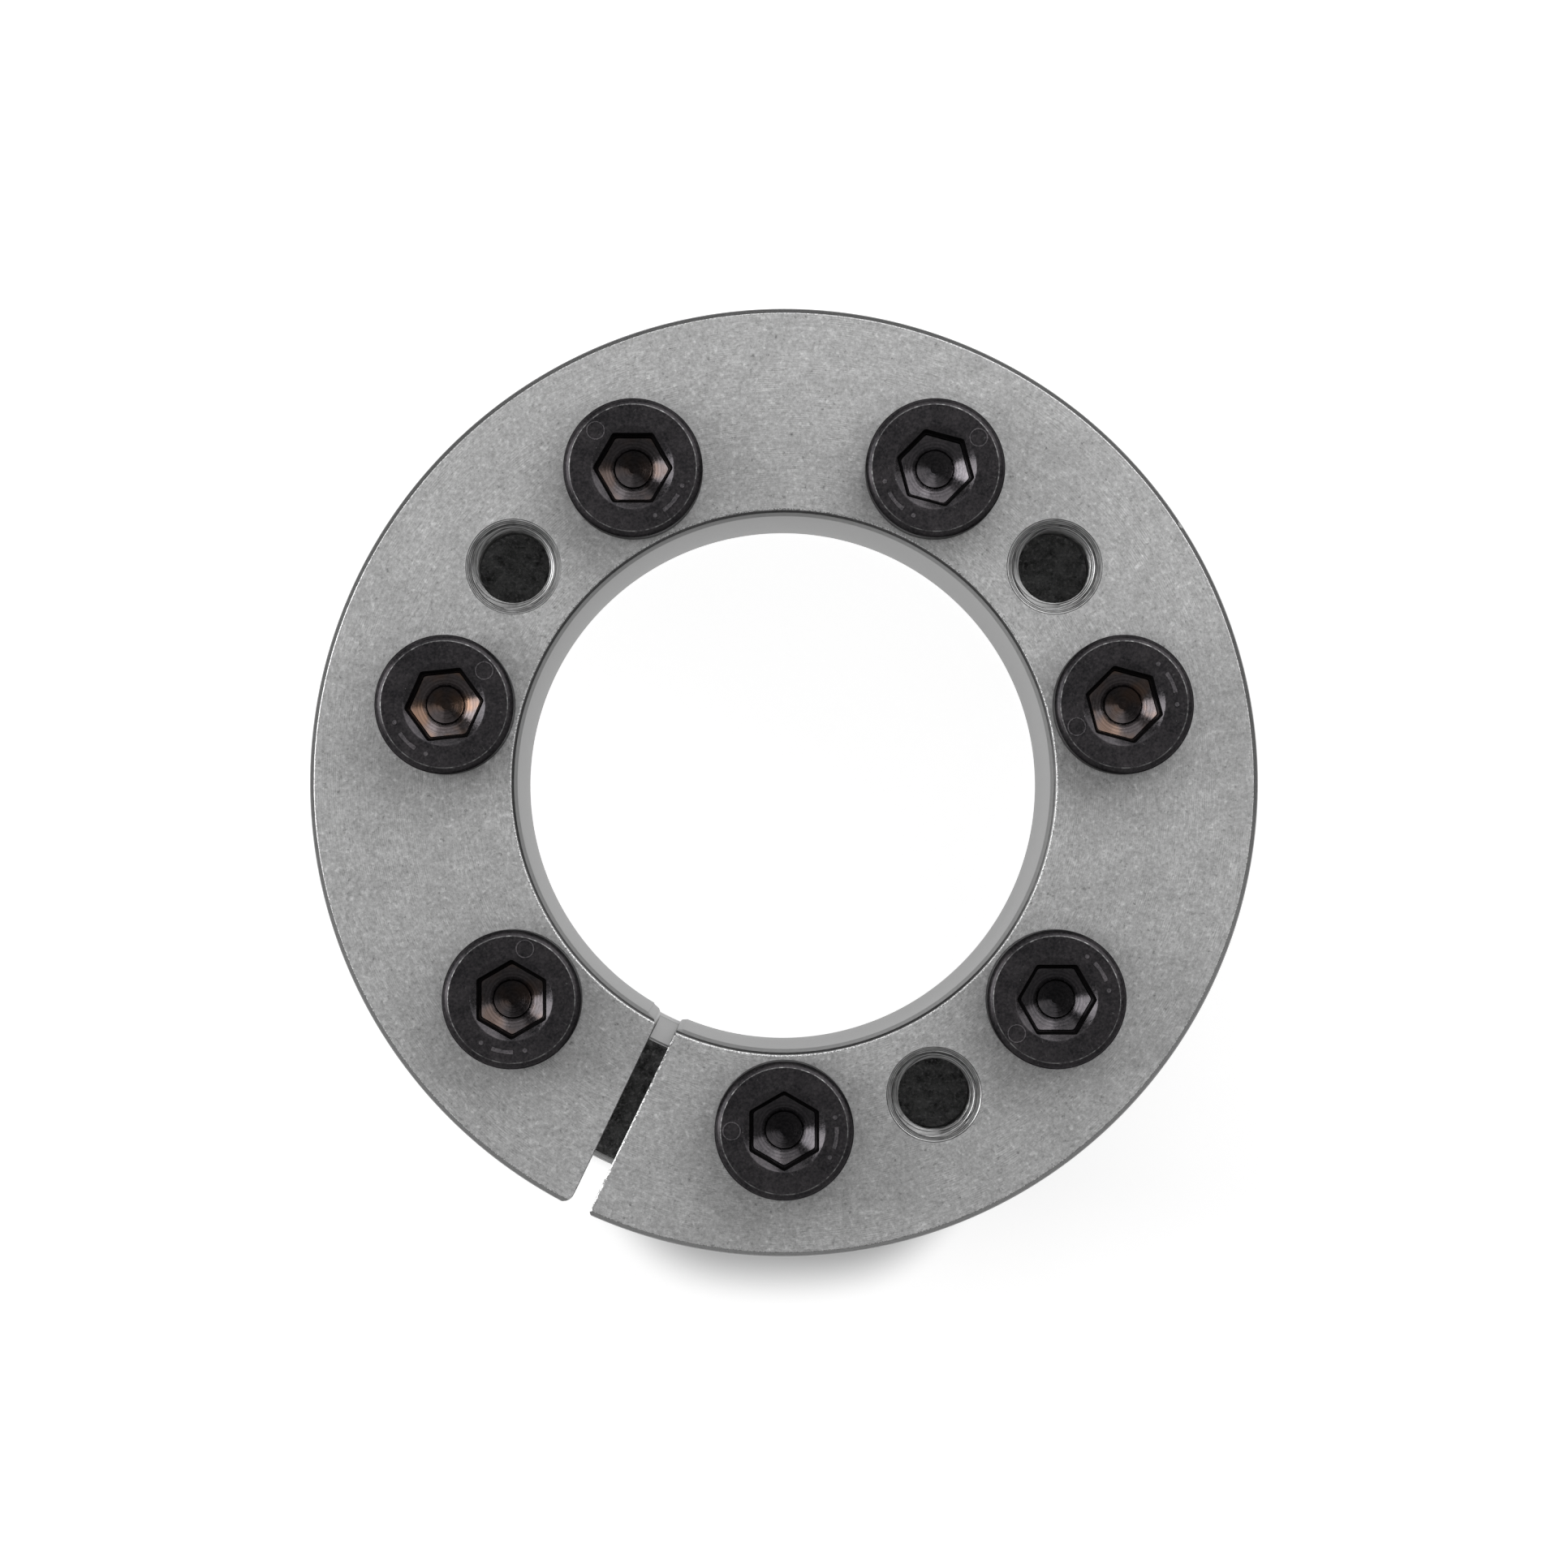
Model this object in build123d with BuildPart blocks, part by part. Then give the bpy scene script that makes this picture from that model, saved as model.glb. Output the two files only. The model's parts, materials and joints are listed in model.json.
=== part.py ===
from build123d import *
from math import isclose, radians, tan
import os

os.makedirs("parts", exist_ok=True)

# Keyless locking assembly for a shaft in a hub, in millimetres.
# The axis is Z: the thin back end stands on Z = 0 and the screw heads point up.
# An inner ring with a flange wears its taper inside an outer ring. The screws pull
# the outer ring up the taper, which closes one slit ring on the shaft and opens the
# other against the hub.

# Shaft, hub and rings
shaft_dia = 50.0
hub_bore_dia = 80.0
outer_ring_length = 36.0
draw_gap = 5.0  # between the rings' faces as supplied, used up by tightening
flange_thickness = 15.0
flange_lip = 4.5  # flange beyond the hub's bore
taper_angle = 2.5  # half of the cone's angle
sleeve_end_wall = 0.73  # inner ring's wall at its thin back end
taper_clearance = 0.07  # between the loose cones, measured square to the axis
slit_width = 2.0
slit_corner_radius = 0.5  # plan corners where a slit meets the bore or the rim

# Edges
bore_mouth_chamfer = 0.55
sleeve_end_chamfer = 0.2
flange_chamfer = 0.4
flange_root_chamfer = 0.4
outer_ring_chamfer = 0.5
taper_mouth_chamfer = 0.2
slit_edge_break = 0.15  # filed along the flange's slit, on the front face

# Socket head cap screws
screw_dia = 8.0
screw_length = 35.0
head_dia = 13.0
head_height = 8.0
head_edge_chamfer = 0.5
hex_across_flats = 6.05
hex_depth = 4.4

# Holes
thread_clearance = 0.05  # round the screw in its tapped hole
thread_run_out = 5.0  # tapped beyond the screw's tip
inner_wall_share = 0.235  # of the outer ring's spare wall, left inside the screws
flange_hole_clearance = 0.5
jack_core_dia = 6.8  # core of the thread for a jacking screw of the same size
jack_mouth_dia = 9.0
jack_mouth_angle = 90.0

# Places round the bolt circle, in degrees from +X
first_screw_angle = -90.0
# How far each screw's hexagon happens to stand turned
socket_turns = (30.0, 0.0, 45.0, 45.0, 0.0, 6.0, 30.0)
jack_gaps = (0, 2, 4)  # gaps after these screws hold a jacking hole
outer_slit_gap = 3
inner_slit_gap = 6

# Worked-out sizes
screw_count = len(socket_turns)
shaft_radius = shaft_dia / 2
hub_radius = hub_bore_dia / 2
flange_radius = hub_radius + flange_lip
flange_back_z = outer_ring_length + draw_gap
flange_front_z = flange_back_z + flange_thickness
taper = tan(radians(taper_angle))
sleeve_end_radius = shaft_radius + sleeve_end_wall
sleeve_root_radius = sleeve_end_radius + flange_back_z * taper
taper_end_radius = sleeve_end_radius + taper_clearance
taper_mouth_radius = taper_end_radius + outer_ring_length * taper
screw_radius = screw_dia / 2
tapped_radius = screw_radius + thread_clearance
spare_wall = hub_radius - taper_mouth_radius - 2 * tapped_radius
bolt_circle_radius = taper_mouth_radius + inner_wall_share * spare_wall + tapped_radius
tapped_depth = outer_ring_length - (flange_front_z - screw_length) + thread_run_out
flange_hole_radius = screw_radius + flange_hole_clearance
screw_spacing = 360 / screw_count


def screw_angle(index):
    """Angle of a screw on the bolt circle."""
    return first_screw_angle + index * screw_spacing


def gap_angle(index):
    """Angle of the middle of the gap that follows a screw."""
    return screw_angle(index + 0.5)


def rims(edges, radius):
    """Round edges of one radius, lowest first."""
    round_edges = edges.filter_by(GeomType.CIRCLE)
    return round_edges.filter_by(lambda rim: isclose(rim.radius, radius, abs_tol=1e-4)).sort_by(Axis.Z)


def slit_cut(plane, inside, outside):
    """Face of a slit across a ring's wall, flared where it meets the bore and the rim."""
    half = slit_width / 2
    flare = slit_corner_radius
    with BuildSketch(plane) as cut:
        with BuildLine():
            for side in (1, -1):
                Line((inside - flare, side * (half + flare)), (inside, side * (half + flare)))
                RadiusArc(
                    (inside, side * (half + flare)),
                    (inside + flare, side * half),
                    side * flare,
                )
                Line((inside + flare, side * half), (outside - flare, side * half))
                RadiusArc(
                    (outside - flare, side * half),
                    (outside, side * (half + flare)),
                    side * flare,
                )
                Line((outside, side * (half + flare)), (outside + flare, side * (half + flare)))
            for end in (inside - flare, outside + flare):
                Line((end, half + flare), (end, -half - flare))
        make_face()
    return cut.sketch


# Inner ring: tapered sleeve with a straight bore and a flange, slit from end to end
slit_angle = gap_angle(inner_slit_gap)
front_plane = Plane.XY.offset(flange_front_z)
slit_plane = Plane.XY.rotated((0, 0, slit_angle))
with BuildPart() as inner_ring:
    with BuildSketch(Plane.XZ):
        with BuildLine():
            Polyline(
                (shaft_radius, 0),
                (sleeve_end_radius, 0),
                (sleeve_root_radius, flange_back_z),
                (flange_radius, flange_back_z),
                (flange_radius, flange_front_z),
                (shaft_radius, flange_front_z),
                close=True,
            )
        make_face()
    revolve(axis=Axis.Z)
    chamfer(rims(inner_ring.edges(), shaft_radius)[-1], bore_mouth_chamfer)
    chamfer(rims(inner_ring.edges(), shaft_radius)[0], sleeve_end_chamfer)
    chamfer(rims(inner_ring.edges(), sleeve_end_radius), sleeve_end_chamfer)
    chamfer(rims(inner_ring.edges(), flange_radius), flange_chamfer)
    chamfer(rims(inner_ring.edges(), sleeve_root_radius), flange_root_chamfer)

    with Locations(front_plane):
        with PolarLocations(bolt_circle_radius, screw_count, start_angle=first_screw_angle):
            Hole(flange_hole_radius, depth=flange_thickness)
    for gap in jack_gaps:
        with Locations(front_plane):
            with PolarLocations(bolt_circle_radius, 1, start_angle=gap_angle(gap)):
                CounterSinkHole(
                    radius=jack_core_dia / 2,
                    counter_sink_radius=jack_mouth_dia / 2,
                    depth=flange_thickness,
                    counter_sink_angle=jack_mouth_angle,
                )

    add(slit_cut(slit_plane, shaft_radius, flange_radius))
    extrude(amount=flange_front_z, mode=Mode.SUBTRACT)
    with BuildSketch(Plane(origin=(0, 0, flange_front_z), x_dir=slit_plane.y_dir, z_dir=slit_plane.x_dir)):
        break_reach = slit_width / 2 + slit_edge_break
        with BuildLine():
            Polyline((-break_reach, 0), (break_reach, 0), (0, -break_reach), close=True)
        make_face()
    extrude(amount=flange_radius, mode=Mode.SUBTRACT)
inner_ring.part.label = "inner_ring"
export_step(inner_ring.part, "parts/inner_ring.step")

# Outer ring: straight outside, tapered bore, one slit and blind tapped holes
with BuildPart() as outer_ring:
    with BuildSketch(Plane.XZ):
        with BuildLine():
            Polyline(
                (taper_end_radius, 0),
                (hub_radius, 0),
                (hub_radius, outer_ring_length),
                (taper_mouth_radius, outer_ring_length),
                close=True,
            )
        make_face()
    revolve(axis=Axis.Z)
    chamfer(rims(outer_ring.edges(), hub_radius), outer_ring_chamfer)
    chamfer(rims(outer_ring.edges(), taper_mouth_radius), taper_mouth_chamfer)

    with Locations(Plane.XY.offset(outer_ring_length)):
        with PolarLocations(bolt_circle_radius, screw_count, start_angle=first_screw_angle):
            Hole(tapped_radius, depth=tapped_depth)

    outer_slit_plane = Plane.XY.rotated((0, 0, gap_angle(outer_slit_gap)))
    add(slit_cut(outer_slit_plane, taper_end_radius, hub_radius))
    extrude(amount=outer_ring_length, mode=Mode.SUBTRACT)
outer_ring.part.label = "outer_ring"
export_step(outer_ring.part, "parts/outer_ring.step")

# Cap screw in its own frame: the head bears on Z = 0 and the shank points down
with BuildPart() as cap_screw:
    with BuildSketch(Plane.XZ):
        with BuildLine():
            Polyline(
                (0, -screw_length),
                (screw_radius, -screw_length),
                (screw_radius, 0),
                (head_dia / 2, 0),
                (head_dia / 2, head_height),
                (0, head_height),
                close=True,
            )
        make_face()
    revolve(axis=Axis.Z)
    chamfer(rims(cap_screw.edges(), head_dia / 2)[-1], head_edge_chamfer)
    with BuildSketch(Plane.XY.offset(head_height)):
        RegularPolygon(hex_across_flats / 2, 6, major_radius=False)
    extrude(amount=-hex_depth, mode=Mode.SUBTRACT)

# Like screws on the bolt circle, each with its socket turned its own way
for index, socket_turn in enumerate(socket_turns):
    with BuildPart() as screw:
        with Locations(front_plane):
            with PolarLocations(bolt_circle_radius, 1, screw_angle(index), rotate=False):
                add(cap_screw.part, rotation=(0, 0, socket_turn))
    screw.part.label = f"screw_{index + 1}"
    export_step(screw.part, f"parts/{screw.part.label}.step")
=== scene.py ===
"""Looks of the keyless locking assembly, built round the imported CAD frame.

Meshes are made in millimetres in the part's frame, and turned into metres at the end.
Angles are in degrees, seen from the front (+Z), from +X towards +Y.
"""
import json
import math
import random

import bmesh
import bpy
from mathutils import Matrix, Vector


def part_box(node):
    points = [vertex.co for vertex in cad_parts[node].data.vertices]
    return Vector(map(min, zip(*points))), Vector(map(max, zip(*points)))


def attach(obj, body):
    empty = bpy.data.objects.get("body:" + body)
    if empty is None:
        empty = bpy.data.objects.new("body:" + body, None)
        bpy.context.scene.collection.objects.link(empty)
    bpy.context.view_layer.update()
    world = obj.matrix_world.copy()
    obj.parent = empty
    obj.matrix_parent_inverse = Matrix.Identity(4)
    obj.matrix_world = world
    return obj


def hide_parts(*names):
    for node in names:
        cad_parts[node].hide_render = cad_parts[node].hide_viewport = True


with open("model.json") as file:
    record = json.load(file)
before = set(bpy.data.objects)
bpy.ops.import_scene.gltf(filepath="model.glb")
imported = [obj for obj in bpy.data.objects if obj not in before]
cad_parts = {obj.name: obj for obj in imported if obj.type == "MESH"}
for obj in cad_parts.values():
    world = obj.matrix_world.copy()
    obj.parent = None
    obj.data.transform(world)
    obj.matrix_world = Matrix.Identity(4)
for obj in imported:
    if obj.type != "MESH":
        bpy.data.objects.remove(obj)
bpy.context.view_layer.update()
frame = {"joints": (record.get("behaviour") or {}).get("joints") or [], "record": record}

MM = 0.001
scene = bpy.context.scene
scene.view_settings.view_transform = "Standard"

# ---- Sizes and places from the frame, in millimetres
SCREW_COUNT = 7
mounts = {mount["name"]: mount for mount in frame["record"]["mounts"]}
joints = {joint["name"]: joint for joint in frame["joints"]}
bore_r = mounts["shaft_bore"]["dims"]["r_mm"]
ring_low, ring_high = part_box("inner_ring")
flange_r = min(ring_high.x, ring_high.y, -ring_low.x, -ring_low.y) / MM
front_z = ring_high.z / MM
hub_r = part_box("outer_ring")[1].x / MM
ring_top_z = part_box("outer_ring")[1].z / MM
# a screw's own heights are measured from the flange's front face
head_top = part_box("screw_1")[1].z / MM - front_z
screw_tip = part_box("screw_1")[0].z / MM - front_z
jack_mounts = [mounts[f"jack_thread_{n}"] for n in (1, 2, 3)]
jack_places = [Vector(mount["pos_m"][:2]) / MM for mount in jack_mounts]
jack_core_r = jack_mounts[0]["dims"]["r_mm"]
flange_back_z = jack_mounts[0]["pos_m"][2] / MM - jack_mounts[0]["dims"]["length_mm"] / 2
screw_places = [Vector(joints[f"screw_{n + 1}_turn"]["pos_m"][:2]) / MM for n in range(SCREW_COUNT)]
screw_angles = [math.degrees(math.atan2(place.y, place.x)) for place in screw_places]
# the flange's slit follows the last screw, and the outer ring's slit follows screw_4
half_step = 180 / SCREW_COUNT
slit_angle = screw_angles[-1] + half_step
outer_slit_angle = screw_angles[3] + half_step

# ---- Sizes that the frame doesn't name, in millimetres
TAPER = math.tan(math.radians(2.5))
SLEEVE_END_WALL = 0.73
TAPER_CLEARANCE = 0.07
SLIT_HALF = 1.0
TURNING_FEED = 0.2  # pitch of the front face's turned lines
FLANGE_HOLE_R = 4.5
JACK_MOUTH_R = 4.5
JACK_THREAD_R = 4.03
TAPPED_DEPTH = 20.0
HEAD_R = 6.5
PITCH = 1.25
CREST_R = 3.97
ROOT_R = 3.29
THREAD_GAP = 0.05  # between a screw's thread and its hole's
# How far each screw's hexagon happens to stand turned, in degrees
SOCKET_TURNS = (30.0, 0.0, 45.0, 45.0, 0.0, 6.0, 30.0)

# ---- How finely the meshes are made
RING_SEGMENTS = 360
HEAD_SEGMENTS = 120
SHANK_SEGMENTS = 48
HOLE_SEGMENTS = 72
MOUTH_SEGMENTS = 96
ROUNDING_STEPS = 3
SMOOTH_COSINE = math.cos(math.radians(32))  # faces that turn less than this share their normals
FLAT = 0.99995  # a normal's z from which its face counts as level
WELD = 0.0003  # vertices this close are merged after a cut
HAIR = 0.01  # open edges shorter than this are closed up
TINY = 1e-5  # edges shorter than this are dropped from a thread


# ---- Mesh tools
def mesh_object(name, vertices, faces):
    """An object in the scene from vertices in millimetres."""
    mesh = bpy.data.meshes.new(name)
    mesh.from_pydata([tuple(vertex) for vertex in vertices], [], faces)
    mesh.validate()
    obj = bpy.data.objects.new(name, mesh)
    scene.collection.objects.link(obj)
    return obj


def circle(radius, z, segments, centre=Vector((0, 0))):
    """A level ring of vertices, counter-clockwise from above."""
    turns = [2 * math.pi * step / segments for step in range(segments)]
    return [(centre.x + radius * math.cos(turn), centre.y + radius * math.sin(turn), z) for turn in turns]


def curve(start, middle, end, steps):
    """Points along a quadratic curve, with both of its ends."""
    shares = [step / steps for step in range(steps + 1)]
    return [start * (1 - t) ** 2 + middle * 2 * t * (1 - t) + end * t ** 2 for t in shares]


def rounded(corners):
    """Closed outline from (radius, z, rounding) corners, each rounded by a small curve."""
    outline = []
    count = len(corners)
    for index, (r, z, rounding) in enumerate(corners):
        if not rounding:
            outline.append((r, z))
            continue
        here = Vector((r, z))
        before = Vector(corners[index - 1][:2])
        after = Vector(corners[(index + 1) % count][:2])
        start = here + (before - here).normalized() * rounding
        end = here + (after - here).normalized() * rounding
        outline += [(point.x, point.y) for point in curve(start, here, end, ROUNDING_STEPS)]
    return outline


def lathe(name, outline, segments):
    """A closed outline of (radius, z), counter-clockwise with radius to the right, turned round Z."""
    vertices = []
    for step in range(segments):
        turn = 2 * math.pi * step / segments
        vertices += [(r * math.cos(turn), r * math.sin(turn), z) for r, z in outline]
    size = len(outline)
    faces = []
    for step in range(segments):
        near = step * size
        far = (step + 1) % segments * size
        for point in range(size):
            after = (point + 1) % size
            faces.append((near + point, far + point, far + after, near + after))
    return mesh_object(name, vertices, faces)


def capped_grid(name, rows):
    """A closed shell from equal rings, counter-clockwise seen from the last one, with a fan at each end."""
    size = len(rows[0])
    vertices = [vertex for row in rows for vertex in row]
    faces = []
    for level in range(len(rows) - 1):
        low = level * size
        for point in range(size):
            after = (point + 1) % size
            faces.append((low + point, low + after, low + size + after, low + size + point))
    for row, up in ((rows[0], False), (rows[-1], True)):
        start = (len(rows) - 1) * size if up else 0
        vertices.append(sum((Vector(vertex) for vertex in row), Vector()) / size)
        centre = len(vertices) - 1
        for point in range(size):
            edge = (start + point, start + (point + 1) % size)
            faces.append((edge[0], edge[1], centre) if up else (edge[1], edge[0], centre))
    return mesh_object(name, vertices, faces)


def helix(name, low, high, crest_r, root_r, segments, envelope=None, inner_limit=0.0):
    """A closed right-hand screw thread of whole turns that starts at low and covers the height up to high.

    A row of vertices climbs one pitch in a turn and meets its own next turn. No radius is under
    inner_limit, and an envelope may then change a vertex's height and radius."""
    # shares of a pitch at which the thread's root and crest start and end
    form = ((0.0, root_r), (0.25, root_r), (0.5625, crest_r), (0.6875, crest_r))
    turns = math.ceil((high - low) / PITCH)
    levels = [(turn + share, r) for turn in range(turns) for share, r in form]
    rows_per_turn = len(form)
    vertices = []
    for level, r in levels:
        for step in range(segments):
            z = low + (level + step / segments) * PITCH
            reach = max(inner_limit, r)
            if envelope:
                z, reach = envelope(z, reach)
            turn = 2 * math.pi * step / segments
            vertices.append((reach * math.cos(turn), reach * math.sin(turn), z))
    faces = []
    for level in range(len(levels) - rows_per_turn):
        for step in range(segments):
            a = level * segments + step
            b = a + 1 if step < segments - 1 else (level + rows_per_turn) * segments
            up_a = a + segments
            up_b = up_a + 1 if step < segments - 1 else (level + 1 + rows_per_turn) * segments
            if up_b < len(vertices):
                faces.append((a, b, up_b, up_a))
    obj = mesh_object(name, vertices, faces)
    close_ends(obj)
    return obj


def open_edges(work):
    """Edges with a face on one side alone."""
    return [edge for edge in work.edges if edge.is_boundary]


def close_ends(obj):
    """Closes the open ends of a thread and drops what no face uses."""
    work = bmesh.new()
    work.from_mesh(obj.data)
    bmesh.ops.delete(work, geom=[v for v in work.verts if not v.link_faces], context="VERTS")
    bmesh.ops.dissolve_degenerate(work, dist=TINY, edges=work.edges)
    bmesh.ops.holes_fill(work, edges=open_edges(work), sides=0)
    bmesh.ops.recalc_face_normals(work, faces=work.faces)
    work.to_mesh(obj.data)
    work.free()


def combine(target, others, operation="DIFFERENCE"):
    """Cuts the others out of the target, or joins them to it, and removes them."""
    for other in others:
        modifier = target.modifiers.new("combine", "BOOLEAN")
        modifier.operation = operation
        modifier.solver = "EXACT"
        modifier.object = other
    graph = bpy.context.evaluated_depsgraph_get()
    mesh = bpy.data.meshes.new_from_object(target.evaluated_get(graph))
    target.modifiers.clear()
    target.data = mesh
    work = bmesh.new()
    work.from_mesh(mesh)
    bmesh.ops.remove_doubles(work, verts=work.verts, dist=WELD)
    bmesh.ops.dissolve_degenerate(work, dist=WELD, edges=work.edges)
    # now and then the solver leaves a hair-thin triangle open
    bmesh.ops.collapse(work, edges=[edge for edge in open_edges(work) if edge.calc_length() < HAIR])
    bmesh.ops.holes_fill(work, edges=open_edges(work), sides=3)
    work.to_mesh(mesh)
    work.free()
    for other in others:
        bpy.data.objects.remove(other)


def shade(mesh):
    """Level faces keep their own normal; others share, by area, with those that turn little from them."""
    around = [[] for _ in mesh.vertices]
    for polygon in mesh.polygons:
        for vertex in polygon.vertices:
            around[vertex].append(polygon.index)
    normals = [polygon.normal.copy() for polygon in mesh.polygons]
    areas = [polygon.area for polygon in mesh.polygons]
    corners = []
    for polygon in mesh.polygons:
        own = normals[polygon.index]
        polygon.use_smooth = True
        for vertex in polygon.vertices:
            if abs(own.z) > FLAT:
                corners.append(own)
                continue
            near = [other for other in around[vertex] if normals[other].dot(own) > SMOOTH_COSINE]
            total = sum((normals[other] * areas[other] for other in near), Vector())
            corners.append(total.normalized() if total.length else own)
    mesh.normals_split_custom_set(corners)


def finish_mesh(obj, materials, choose):
    """Gives each face its material, by its number, shades it and turns millimetres into metres."""
    mesh = obj.data
    mesh.materials.clear()
    for material in materials:
        mesh.materials.append(material)
    for polygon in mesh.polygons:
        polygon.material_index = choose(polygon.center, polygon.normal)
    shade(mesh)
    mesh.transform(Matrix.Scale(MM, 4))


# ---- Material tools
NOISE_RANGE = (0.3, 0.7)  # between which most of a noise lies
ELSEWHERE = (31.0, 17.0, 5.0)  # moves a noise, so that it doesn't match another of its scale


def add_node(tree, kind, inputs=(), **settings):
    """Adds a node; a socket among the inputs is linked and anything else is its value."""
    node = tree.nodes.new("ShaderNode" + kind)
    for key, value in settings.items():
        setattr(node, key, value)
    items = inputs.items() if isinstance(inputs, dict) else enumerate(inputs)
    for key, value in items:
        if isinstance(value, bpy.types.NodeSocket):
            tree.links.new(value, node.inputs[key])
        else:
            node.inputs[key].default_value = value
    return node


def grey(value):
    return (value, value, value)


class Look:
    """Short hand for building one material's nodes. Its lengths are in millimetres."""

    def __init__(self, name, **sockets):
        self.material = bpy.data.materials.new(name)
        self.material.use_nodes = True
        self.tree = self.material.node_tree
        self.shader = self.tree.nodes["Principled BSDF"]
        for socket, value in sockets.items():
            self.shader.inputs[socket.replace("_", " ")].default_value = value
        place = self.node("TexCoord").outputs["Object"]
        self.place = self.node("VectorMath", (place, (1 / MM,) * 3), operation="MULTIPLY").outputs[0]
        split = self.node("SeparateXYZ", (self.place,))
        self.x, self.y, self.z = split.outputs

    def node(self, kind, inputs=(), **settings):
        return add_node(self.tree, kind, inputs, **settings)

    def math(self, operation, *values):
        return self.node("Math", values, operation=operation).outputs[0]

    def times(self, first, second):
        return self.math("MULTIPLY", first, second)

    def add(self, base, layer, weight):
        """The base and so much of a layer."""
        return self.math("MULTIPLY_ADD", layer, weight, base)

    def vary(self, base, noise, weight):
        """The base, moved up and down by a noise about its middle."""
        return self.add(base, self.math("SUBTRACT", noise, 0.5), weight)

    def noise(self, scale, detail=3.0, roughness=0.55, place=None):
        """Soft noise of so many spots a millimetre."""
        sockets = {"Vector": place or self.place, "Scale": scale, "Detail": detail, "Roughness": roughness}
        return self.node("TexNoise", sockets).outputs["Fac"]

    def spread(self, value, low, high, to_low=0.0, to_high=1.0, soft=False):
        """Maps a range onto another and holds it there, with soft ends if asked."""
        kind = "SMOOTHSTEP" if soft else "LINEAR"
        return self.node("MapRange", (value, low, high, to_low, to_high), interpolation_type=kind).outputs[0]

    def radius(self):
        """Distance from the axis."""
        squares = self.math("ADD", self.times(self.x, self.x), self.times(self.y, self.y))
        return self.math("SQRT", squares)

    def off(self, value, middle):
        """How far a value lies from another, to either side."""
        return self.math("ABSOLUTE", self.math("SUBTRACT", value, middle))

    def colour(self, factor, low, high):
        """A blend of two colours."""
        mix = self.node("Mix", data_type="RGBA")
        for socket, value in (("Factor_Float", factor), ("A_Color", low), ("B_Color", high)):
            target = next(s for s in mix.inputs if s.identifier == socket)
            if isinstance(value, bpy.types.NodeSocket):
                self.tree.links.new(value, target)
            else:
                target.default_value = (*value, 1.0)
        return next(s for s in mix.outputs if s.identifier == "Result_Color")

    def grey_of(self, light):
        """A grey from black at 0 to white at 1."""
        return self.colour(light, grey(0.0), grey(1.0))

    def hatch(self, pitch, length):
        """Short scratches round the axis: noise that is fine across them and long along them."""
        r = self.radius()
        stretch = (bore_r + flange_r) / 2 / length
        around = [self.times(self.math("DIVIDE", side, r), stretch) for side in (self.x, self.y)]
        place = self.node("CombineXYZ", (*around, self.math("DIVIDE", r, pitch)))
        return self.noise(1.0, detail=1.0, roughness=0.5, place=place.outputs[0])

    def grooves(self, along, pitch, wobble=0.3):
        """Fine tool marks along a line: a noise that is quick in one direction and slow in the others."""
        waved = self.add(along, self.noise(0.6), wobble)
        sockets = {"W": waved, "Scale": 1 / pitch, "Detail": 2.0}
        return self.node("TexNoise", sockets, noise_dimensions="1D").outputs["Fac"]

    def paint(self, colour, roughness=None, bump=None, depth=None):
        """Connects what varies over the surface."""
        self.tree.links.new(colour, self.shader.inputs["Base Color"])
        if roughness:
            self.tree.links.new(roughness, self.shader.inputs["Roughness"])
        if bump:
            relief = self.node("Bump", {"Height": bump, "Distance": depth * MM, "Strength": 1.0})
            self.tree.links.new(relief.outputs[0], self.shader.inputs["Normal"])
        return self.material


# ---- Steel
FACE_LEVEL = 0.56  # how bright the flange's face is
FACE_ROUGHNESS = 0.34
LINE_CONTRAST = 0.05  # of the face's turned lines
SCUFF_OFF = 0.4  # from a head's side to the scuffed ring round it


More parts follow.
